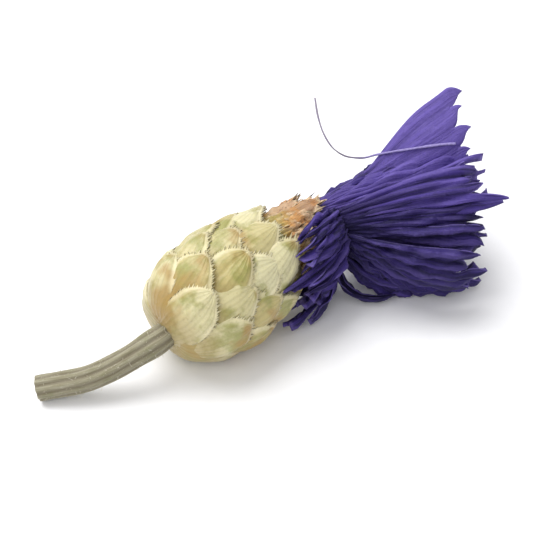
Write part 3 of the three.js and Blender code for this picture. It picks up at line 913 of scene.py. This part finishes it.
def lay_sheet(sheet, across, u, v, lift):
    """Points of a floret's sheet, from places across it in millimetres and along it as shares.

    The sheet twists and unrolls along its line, wanders sideways and is kinked across."""
    place, outward, sideways, forward = floret_line(sheet.line, sheet.through_brush, v)
    twisted = (sheet.twist * smooth(v, 0.1, 0.7))[:, None]
    outward, sideways = (
        way * np.cos(twisted) + np.cross(forward, way) * np.sin(twisted)
        for way in (outward, sideways)
    )
    arc = TUBE_ARC + (sheet.curl - TUBE_ARC) * smooth(v, 0.04, 0.3)
    radius = half_width(sheet, v) / arc
    turn = (across / radius)[:, None]
    normal = outward * np.cos(turn) + sideways * np.sin(turn)
    radius = radius[:, None]
    points = place + sideways * radius * np.sin(turn) - outward * radius * (1 - np.cos(turn))
    wander = 0.25 * v * v * creases(sheet.seed + 70, 0 * u, 0.6 * v, 3)
    kinks = 1.5 * sheet.pleat * smooth(v, 0.2, 0.5) * creases(sheet.seed + 50, 0.8 * u, 3.4 * v)
    points = points + normal * (lift + kinks)[:, None] + sideways * wander[:, None]
    lowest = FLOOR_GAP + 0.12 * (1 + creases(sheet.seed + 90, u, v))
    points[:, 2] = pressed(points[:, 2], lowest)
    return points


def floret_sheet(sheet, first):
    """The net of one floret: a common part up to the foot of the lobes, and the lobes.

    It gives the points, the faces by numbers from first on, and each point's uv place, edge,
    fold and tone."""
    dice = np.random.default_rng(sheet.seed)
    lobes, cells = sheet.lobes, LOBE_CELLS
    columns = lobes * cells + 1

    def folded(u, v, ridge):
        lift = sheet.pleat * smooth(v, 0.12, 0.55) * ridge
        lift += 1.1 * sheet.pleat * smooth(v, 0.15, 0.6) * creases(sheet.seed, u, v)
        lift += 0.45 * sheet.pleat * smooth(v, 0.1, 0.4) * creases(sheet.seed + 7, u, v, 5, 17)
        return lift

    u = np.tile(np.linspace(-1, 1, columns), THROAT_ROWS)
    v = np.repeat(np.linspace(0, 1, THROAT_ROWS) ** 0.9, columns)
    v *= sheet.sinus - sheet.oblique * (1 + u) / 2
    lift = folded(u, v, -np.cos(pi * lobes * (u + 1)))
    edge = smooth(np.abs(u), 0.86, 1)
    parts = [(u * half_width(sheet, v), u, v, lift, edge, lift / sheet.pleat)]
    faces = net_faces(THROAT_ROWS, columns, first)
    last_row = first + (THROAT_ROWS - 1) * columns
    next_row = last_row + columns
    for lobe in range(lobes):
        centre = (2 * lobe + 1) / lobes - 1
        end = 1 - sheet.ragged * (0.3 * centre**2 + 0.7 * dice.random())
        bend, sway, roll = dice.uniform([-0.8, -0.35, -1], [0.25, 0.35, 1])
        x = np.tile(np.linspace(-1, 1, cells + 1), LOBE_ROWS)
        s = np.repeat(np.linspace(0, 1, LOBE_ROWS + 1)[1:], cells + 1)
        local = centre + x / lobes
        along = sheet.sinus + (end - sheet.sinus) * s - sheet.oblique * (1 + local) / 2
        foot = half_width(sheet, sheet.sinus) / lobes
        width = foot * np.maximum((1 - s) ** 0.75 * (1 + 0.8 * s), 0.03)
        across = centre * half_width(sheet, along) + x * width + sway * s * s
        raised = folded(local, along, (1 - 0.5 * s) * np.cos(pi * x))
        curled = (bend * s * s + 0.3 * roll * s * x * x) * sheet.pleat / LOBE_CURL_PLEAT
        edge = np.maximum(smooth(np.abs(x), 0.45, 1), smooth(s, 0.8, 1))
        parts.append((across, local, along, raised + curled, edge, raised / sheet.pleat))
        below = last_row + lobe * cells
        for _ in range(LOBE_ROWS):
            for c in range(cells):
                faces.append((below + c, below + c + 1, next_row + c + 1, next_row + c))
            below = next_row
            next_row += cells + 1
    across, u, v, lift, edge, fold = (np.concatenate(values) for values in zip(*parts))
    points = lay_sheet(sheet, across, u, v, lift)
    return points, faces, np.stack([0.5 + 0.5 * u, v], 1), edge, fold, np.full(len(u), sheet.tone)


def root_at(angle):
    """Where every floret starts in the throat, at an angle round the head."""
    return in_head(ROOT_RADIUS, angle, ROOT_ALONG)


def under_share(angle):
    """How much a floret at an angle is on the side that the brush lies on, from 0 to 1."""
    return max(0, -sin(angle + UNDER_TURN))


def ray_sheet(i):
    """Ray floret number i of the ring. Those beneath sag to the surface and run along it."""
    angle = (i + 0.3 * (draw(i, 5) - 0.5)) * tau / RAYS
    under = under_share(angle)
    beneath = exp(-(((i - BROAD_RAY - 2) / 1.4) ** 2))
    spread = (INNER_SPREAD if i % 2 else OUTER_SPREAD) - BENEATH_BROAD * beneath
    opened = spread + UNDER_SPREAD * under + 5 * (draw(i, 6) - 0.5)
    reach = RAY_REACH + 1.3 * (draw(i, 7) - 0.5) - 0.9 * under
    # The tone has a random part. Its sin(angle) part is painted light on the upper side of the head
    # and painted shade beneath.
    tone = 0.42 + 0.32 * sin(angle) + 0.4 * (draw(i, 17) - 0.5)
    line = [
        root_at(angle),
        in_head(SLEEVE_OUTER - 0.2 + 0.3 * under, angle, NECK + 2.2 * under),
        brush_point((0.45 + 0.3 * under) * reach, opened + 4 + UNDER_SAG * under, angle),
        brush_point(reach, opened, angle),
    ]
    if i == BROAD_RAY:
        line[2:] = np.array([BROAD_BEND, BROAD_END])
    line[3][2] = max(line[3][2], TIP_LOWEST)
    sheet = Sheet(
        line=line, seed=i, widest=1.75 + 0.55 * draw(i, 8),
        curl=radians(32 + 35 * draw(i, 9)), twist=radians(50 * (draw(i, 14) - 0.5)),
        lobes=5 + int(3 * draw(i, 15)), opening=0.2, sinus=0.8 + 0.09 * draw(i, 16),
        ragged=0.15, pleat=0.15 + 0.1 * draw(i, 18),
        tone=tone - SHADED_BY if i == SHADED_RAY else tone,
    )
    return sheet._replace(**BROAD_SHEET) if i == BROAD_RAY else sheet


def inner_ray_sheet(i):
    """A floret of the second ring, which fills the brush behind the first."""
    angle = (i + 0.5 + 0.4 * draw(i, 20)) * tau / INNER_RAYS
    under = under_share(angle)
    near = max(0, cos(angle - INNER_LEAN)) ** 4
    reach = 10.9 + 1.5 * draw(i, 21) - 0.6 * under + 1.2 * near
    opened = 9 + 7 * draw(i, 22) + 10 * under + 7 * near
    line = [
        root_at(angle),
        in_head(0.95, angle, NECK + 0.8 * under),
        brush_point((0.5 + 0.2 * under) * reach, opened + 3 + 20 * under, angle),
        brush_point(reach, opened, angle),
    ]
    return Sheet(
        line=line, seed=40 + i, widest=1.9 + 0.5 * draw(i, 25),
        curl=radians(45 + 35 * draw(i, 26)), twist=radians(50 * (draw(i, 23) - 0.5)),
        lobes=5 + i % 2, opening=0.22, sinus=0.76 + 0.1 * draw(i, 27),
        # The sin(angle) part of the tone is painted light above and painted shade below.
        ragged=0.2, pleat=0.18, tone=0.2 + 0.35 * draw(i, 24) + 0.15 * sin(angle),
    )


# The florets that have curled back over the collar: the angle each leaves at, the radius and
# distance along the head that it folds round, the radius, angle and distance along the head of
# its end, and half its width.
CURLED = [
    (150, (3.6, 13.0), (3.9, 138, 7.6), 1.3),
    (168, (4.1, 12.9), (4.0, 151, 6.9), 1.4),
    (188, (4.3, 12.9), (4.1, 170, 6.5), 1.5),
    (207, (4.5, 12.8), (4.1, 192, 6.4), 1.5),
    (224, (5.0, 12.4), (4.4, 214, 6.6), 1.3),
    (237, (5.6, 11.8), (5.3, 237, 6.7), 1.1),
    (252, (5.2, 12.6), (4.7, 250, 8.2), 1.3),
    (268, (4.9, 13.0), (4.5, 264, 9.6), 1.2),
]


def curled_sheet(i):
    """A short floret that folds back and hangs beside the involucre."""
    angle, (fold_radius, fold_along), (end_radius, end_angle, end_along), widest = CURLED[i]
    turn = radians(angle)
    line = [
        root_at(turn),
        in_head(1.6, turn, NECK + 2.6),
        in_head(fold_radius, turn, fold_along),
        in_head(end_radius, radians(end_angle), end_along),
    ]
    line[3][2] = max(line[3][2], 0.3)
    return Sheet(
        line=line, through_brush=False, seed=20 + i, widest=widest,
        curl=radians(40 + 50 * draw(i, 30)), twist=radians(110 * (draw(i, 28) - 0.5)),
        lobes=4, opening=0.2, sinus=0.64, ragged=0.3, pleat=0.2, tone=0.15 + 0.45 * draw(i, 29),
    )


def looped_sheet():
    """A narrow floret that hangs from the neck to the surface and runs along it."""
    line = [root_at(radians(240)), (11.7, 0.67, 1.1), (8.1, -1.1, 0.1), (13.5, -2.1, 0.35)]
    return Sheet(
        line=line, through_brush=False, seed=60, widest=0.5, curl=radians(110), twist=0.3,
        lobes=3, opening=0.3, sinus=0.85, ragged=0.1, pleat=0.05, tone=0.1,
    )


def dry_petal():
    """Dried petal: blue-violet, streaked and finely veined along it and paler at its edges. Painted
    highlight on the ridges of its folds, painted shade in their hollows and towards its foot, and
    lighter or darker with each floret's tone.
    """
    deep, body, light = (22, 13, 62), (56, 40, 118), (106, 89, 170)
    depths = (0.2 * MM, 0.15 * MM, 0.4 * MM)
    made, tree = finish_of(
        "dry_petal", 0.62, Specular_IOR_Level=0.28,
        Subsurface_Weight=0.12, Subsurface_Radius=depths,
        Sheen_Weight=0.04, Sheen_Tint=colour(200, 190, 245), Sheen_Roughness=0.4,
    )
    place, solid = own_uv(tree), in_solid(tree)
    tone, fold = carried(tree, "tone"), carried(tree, "fold")
    own = add(tree, "ShaderNodeCombineXYZ", {0: times(tone, 211.0)})
    own = add(tree, "ShaderNodeVectorMath", {0: place, 1: own}, operation="ADD")
    streaks = noise(stretched(own, 13, 1.6, 1), 1.0, 3.0)
    fibres = noise(stretched(own, 44, 3, 1), 1.0)
    patches = noise(solid, 420.0)
    crumples = noise(solid, 750.0, 3.0)
    return surfaced(
        made, times_plus(crumples, 1.6, times_plus(fibres, 0.6, streaks)), 0.2, deep,
        (fit(streaks, 0.4, 0.58), body),
        (fit(patches, 0.5, 0.72, 0.6), deep),
        (fit(fibres, 0.54, 0.7, 0.55), light),
        # painted highlight on the ridges of the folds, and painted shade in their hollows
        (fit(fold, 0.2, 1.6, 0.6), light),
        (fit(fold, -1.6, -0.1, 0.0, 0.6), deep),
        # painted shade towards the foot of each floret, deep in the crowded neck
        (fit(split(place)[1], 0.3, 0.62, 0.0, 0.5), deep),
        # painted light and painted shade by the floret's tone, which also varies at random
        (fit(tone, 0.6, 1.0, 0.7), light),
        (fit(tone, 0.0, 0.5, 0.0, 0.8), deep),
        (fit(carried(tree, "edge"), 0.6, 1.0, 0.4), (128, 112, 190)),
    )


PETAL = dry_petal()


def make_rays(name, sheets):
    """Several ray florets in one mesh, each with its own tone."""
    parts = [[] for _ in range(6)]
    for sheet in sheets:
        for gathered, own in zip(parts, floret_sheet(sheet, len(parts[0]))):
            gathered.extend(own)
    points, faces, uv, edge, fold, tone = parts
    made = piece(name, points, faces, PETAL, uv, edge=edge, fold=fold, tone=tone)
    thickened(made, BLADE, offset=0)
    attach(made, "root")
    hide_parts("ray_florets")
    return made


outer_rays = make_rays("ray_florets_outer", [ray_sheet(i) for i in range(RAYS)])
inner_rays = make_rays("ray_florets_inner", [inner_ray_sheet(i) for i in range(INNER_RAYS)])
make_rays("ray_florets_curled", [*(curled_sheet(i) for i in range(len(CURLED))), looped_sheet()])


# A single dried thread, the shrivelled foot of a floret, that lies along the top of the brush
# and stands up free beyond its side. It is grey-violet where it is free and lilac on the brush.
# Its free end is given by points, and the rest by the places that it passes over.
THREAD_FREE = [
    (11.25, 6.9, 11.7), (10.8, 5.6, 11.1), (10.6, 4.4, 10.5), (10.8, 3.55, 9.9),
    (11.5, 3.25, 9.25), (12.4, 3.3, 8.75), (13.3, 3.5, 8.35),
]
THREAD_LAID = [(14.4, 3.8), (15.4, 3.35), (16.4, 2.9), (17.4, 2.45), (18.4, 2.0), (19.2, 1.65)]
THREAD_RADIUS = 0.1
THREAD_FLATNESS = 0.7
THREAD_SPAN = 0.4
THREAD_SIDES = 10
THREAD_STEPS = 10


def thread_finish():
    """Grey-violet thread, lilac towards the end that lies on the petals."""
    made, tree = finish_of("dry_thread", 0.6, Sheen_Weight=0.2)
    place = own_uv(tree)
    mottle = noise(stretched(place, 3, 60, 1), 1.0)
    return surfaced(
        made, mottle, 0.02, (126, 118, 132),
        (fit(split(place)[1], 0.35, 0.6), (140, 128, 186)),
        (fit(mottle, 0.4, 0.65, 0.5), (96, 82, 130)),
    )


def laid_on(*pieces):
    """The places of the thread on top of pieces, each as high as what is near it."""
    graph = bpy.context.evaluated_depsgraph_get()
    trees = [BVHTree.FromObject(made, graph) for made in pieces]
    line = np.array(THREAD_LAID)
    step = THREAD_SPAN * (line[-1] - line[0]) / norm(line[-1] - line[0])
    laid = []
    for place in line:
        hits = [
            tree.ray_cast((*((place + share * step) * MM), 1), (0, 0, -1))[0]
            for tree in trees
            for share in (-1, -0.5, 0, 0.5, 1)
        ]
        top = max(hit.z for hit in hits if hit) / MM
        laid.append((*place, top + 0.6 * THREAD_RADIUS))
    return laid


def make_thread():
    """The thread: small, uneven rings along its path, flattened and thinner at its free end."""
    path = path_through([*THREAD_FREE, *laid_on(outer_rays, inner_rays)], THREAD_STEPS)
    turn = once_round(THREAD_SIDES)
    points, uv = [], []
    for middle, toward, s in zip(path, np.gradient(path, axis=0), np.linspace(0, 1, len(path))):
        radius = THREAD_RADIUS * (0.6 + 0.5 * s) * (1 + 0.2 * sin(31 * s) * sin(17 * s))
        points.extend(ring_round(middle, axes_along(toward), turn, radius, THREAD_FLATNESS))
        uv.extend(np.stack([turn / tau, 0 * turn + s], 1))
    inward = [face[::-1] for face in tube_faces(len(path), THREAD_SIDES)]
    inward.insert(-1, tuple(range(THREAD_SIDES)))
    return piece("dried_thread", points, inward, thread_finish(), uv)


thread = make_thread()
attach(thread, "root")


# The stage: a plain white floor under plain soft light, and the camera at the angle that the
# head was photographed from, through a long lens.
FLOOR_REACH = 900
SKY_STRENGTH = 0.68
VIEW_AZIMUTH = -27
VIEW_ELEVATION = 40
VIEW_WIDTH = 35.0
VIEW_CENTRE = (4.6, 0.4, 4.2)
LENS = 90
SENSOR = 36


def floor_finish():
    """Matt white paper."""
    made, tree = finish_of("white_paper", 0.9)
    grain = noise(in_solid(tree), 700.0)
    return surfaced(made, grain, 0.002, (238, 238, 240), (grain, (244, 244, 246)))


corners = [(x * FLOOR_REACH, y * FLOOR_REACH, 0) for x, y in ((-1, -1), (1, -1), (1, 1), (-1, 1))]
floor = piece("floor", corners, [(0, 1, 2, 3)], floor_finish())


def aim(made, azimuth, elevation, distance, centre=(0, 0, 0)):
    """Sets a lamp or the camera at a distance in millimetres, facing the centre."""
    made.location = (np.array(centre) + distance * heading(elevation, azimuth - 90)) * MM
    made.rotation_euler = (radians(90 - elevation), 0, radians(azimuth))


def soft_light(name, azimuth, elevation, distance, size, power):
    """A square softbox that faces the head."""
    lamp = bpy.data.lights.new(name, "AREA")
    lamp.size = size * MM
    lamp.energy = power
    aim(placed(name, lamp), azimuth, elevation, distance)


soft_light("softbox_above", azimuth=200, elevation=62, distance=300, size=260, power=0.98)
soft_light("softbox_front", azimuth=-60, elevation=38, distance=400, size=300, power=0.45)

sky = bpy.data.worlds.new("white_room")
sky.use_nodes = True
background = sky.node_tree.nodes["Background"].inputs
background["Color"].default_value = (1, 1, 1, 1)
background["Strength"].default_value = SKY_STRENGTH
bpy.context.scene.world = sky
bpy.context.scene.view_settings.view_transform = "Standard"

camera = placed("camera", bpy.data.cameras.new("camera"))
camera.data.lens = LENS
camera.data.clip_start = 0.001
aim(camera, VIEW_AZIMUTH, VIEW_ELEVATION, VIEW_WIDTH * LENS / SENSOR, VIEW_CENTRE)
bpy.context.scene.camera = camera
